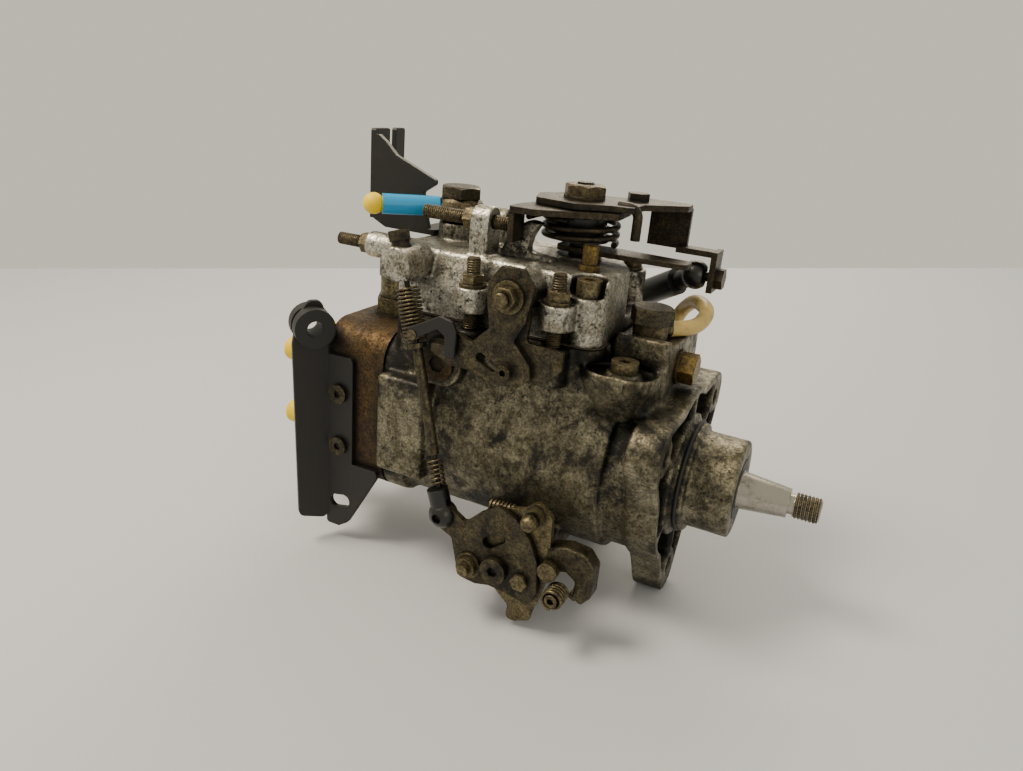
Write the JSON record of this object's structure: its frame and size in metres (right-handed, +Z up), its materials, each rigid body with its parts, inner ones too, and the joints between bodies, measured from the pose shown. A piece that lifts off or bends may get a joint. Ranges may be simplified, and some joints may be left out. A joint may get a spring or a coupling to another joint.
{
  "type": "diesel injection pump",
  "caption": "Distributor-type diesel injection pump with flange, tapered drive shaft, governor cover, throttle and cold-start levers, hydraulic head and mounting brackets.",
  "frame": {"origin": "on the drive shaft axis, in the mounting face of the flange", "axes": "+X out of the flange along the drive shaft, +Z up to the governor cover, +Y to the side away from the control levers"},
  "size_m": [0.3115, 0.1456, 0.227],
  "materials": {
    "cast_aluminium": "as cast, satin",
    "machined_aluminium": "turned",
    "steel": "satin",
    "polished_steel": "ground",
    "brown_steel": "stained",
    "black_steel": "satin paint",
    "zinc_steel": "zinc plated",
    "brass": "dull",
    "yellow_plastic": "matte",
    "blue_plastic": "matte",
    "tan_hose": "matte",
    "black_rubber": "matte",
    "gasket_paper": "matte"
  },
  "bodies": {
    "root": {"pump_housing": "cast_aluminium", "governor_cover": "cast_aluminium", "cover_gasket": "gasket_paper", "distributor_head": "brown_steel", "head_bolts": "steel", "delivery_valve_holders": "brown_steel", "outlet_caps": "yellow_plastic", "steel_plugs": "brown_steel", "shut_off_solenoid": "zinc_steel", "shaft_bush": "brass", "shaft_seal": "black_rubber", "vane_pump_ring": "steel", "vane_pump_plate": "steel", "inlet_banjo": "steel", "banjo_bolts": "zinc_steel", "return_hose": "tan_hose", "return_banjo": "steel", "pipe_sleeve": "blue_plastic", "adjusting_screws": "zinc_steel", "m6_nuts": "zinc_steel", "cover_studs": "steel", "cover_screws": "steel", "brass_fittings": "brass", "timing_covers": "cast_aluminium", "timing_cover_screws": "steel", "bracket_screws": "zinc_steel", "cable_bracket": "black_steel", "rear_bracket": "black_steel", "bracket_bush": "black_rubber", "throttle_spring": "polished_steel", "cable_adjuster": "brown_steel", "governor_pin": "steel", "cold_start_bracket": "zinc_steel", "cold_start_spring": "black_steel"},
    "drive": {"drive_shaft": "polished_steel", "vane_rotor": "steel", "pump_vanes": "steel", "drive_gear": "steel", "cam_plate": "steel", "plunger": "polished_steel"},
    "rollers": {"roller_ring": "steel", "cam_rollers": "polished_steel"},
    "timing": {"timing_piston": "machined_aluminium"},
    "governor": {"governor_cage": "steel", "flyweights": "steel"},
    "sliding_sleeve": {"governor_sleeve": "steel"},
    "tension_lever": {"governor_lever": "steel"},
    "metering": {"control_sleeve": "steel"},
    "throttle": {"throttle_shaft": "steel", "throttle_levers": "zinc_steel", "throttle_arm": "steel", "throttle_nut": "zinc_steel"},
    "link": {"link_rod": "zinc_steel"},
    "idle_lever": {"side_levers": "zinc_steel", "side_lever_nut": "zinc_steel"},
    "cold_start": {"cold_start_lever": "zinc_steel", "cold_start_fasteners": "steel"},
    "rod": {"control_rod": "zinc_steel", "rod_springs": "steel", "rod_clevis": "black_steel"}
  },
  "joints": [
    {"name": "drive_spin", "type": "hinge", "parent": "root", "child": "drive", "pos_m": [0, 0, 0], "axis": [1, 0, 0], "continuous": true},
    {"name": "governor_spin", "type": "hinge", "parent": "root", "child": "governor", "pos_m": [-0.05, 0, 0.045], "axis": [1, 0, 0], "continuous": true},
    {"name": "timing_slide", "type": "slide", "parent": "root", "child": "timing", "axis": [0, 1, 0], "range_m": [-0.006, 0.006]},
    {"name": "roller_ring_turn", "type": "hinge", "parent": "root", "child": "rollers", "pos_m": [-0.07, 0, 0], "axis": [1, 0, 0], "range_deg": [-7.5, 7.5]},
    {"name": "tension_lever_tilt", "type": "hinge", "parent": "root", "child": "tension_lever", "pos_m": [-0.11, 0, 0.024], "axis": [0, -1, 0], "range_deg": [0, 6]},
    {"name": "metering_slide", "type": "slide", "parent": "root", "child": "metering", "axis": [1, 0, 0], "range_m": [0, 0.00145]},
    {"name": "sleeve_slide", "type": "slide", "parent": "governor", "child": "sliding_sleeve", "axis": [-1, 0, 0], "range_m": [0, 0.0016]},
    {"name": "throttle_turn", "type": "hinge", "parent": "root", "child": "throttle", "pos_m": [-0.074, 0.005, 0.1], "axis": [0, 0, 1], "range_deg": [0, 50]},
    {"name": "link_swivel", "type": "hinge", "parent": "throttle", "child": "link", "pos_m": [-0.02, 0.038, 0.095], "axis": [0, 0, 1], "range_deg": [-17.5, 0]},
    {"name": "idle_lever_turn", "type": "hinge", "parent": "root", "child": "idle_lever", "pos_m": [-0.08, -0.055, 0.0905], "axis": [0, -1, 0], "range_deg": [0, 25]},
    {"name": "cold_start_turn", "type": "hinge", "parent": "root", "child": "cold_start", "pos_m": [-0.071, -0.066, -0.046], "axis": [0, -1, 0], "range_deg": [0, 8]},
    {"name": "rod_swivel", "type": "hinge", "parent": "cold_start", "child": "rod", "pos_m": [-0.1035, -0.0668, -0.026], "axis": [0, -1, 0], "range_deg": [-9.7, 0]}
  ],
  "couplings": [
    {"joint": "governor_spin", "follows": "drive_spin", "ratio": -2},
    {"joint": "roller_ring_turn", "follows": "timing_slide", "rad_per_m": 21.74},
    {"joint": "metering_slide", "follows": "tension_lever_tilt", "m_per_rad": 0.0134},
    {"joint": "sleeve_slide", "follows": "tension_lever_tilt", "m_per_rad": 0.015},
    {"joint": "link_swivel", "follows": "throttle_turn", "ratio": -0.35},
    {"joint": "rod_swivel", "follows": "cold_start_turn", "ratio": -1.206}
  ]
}
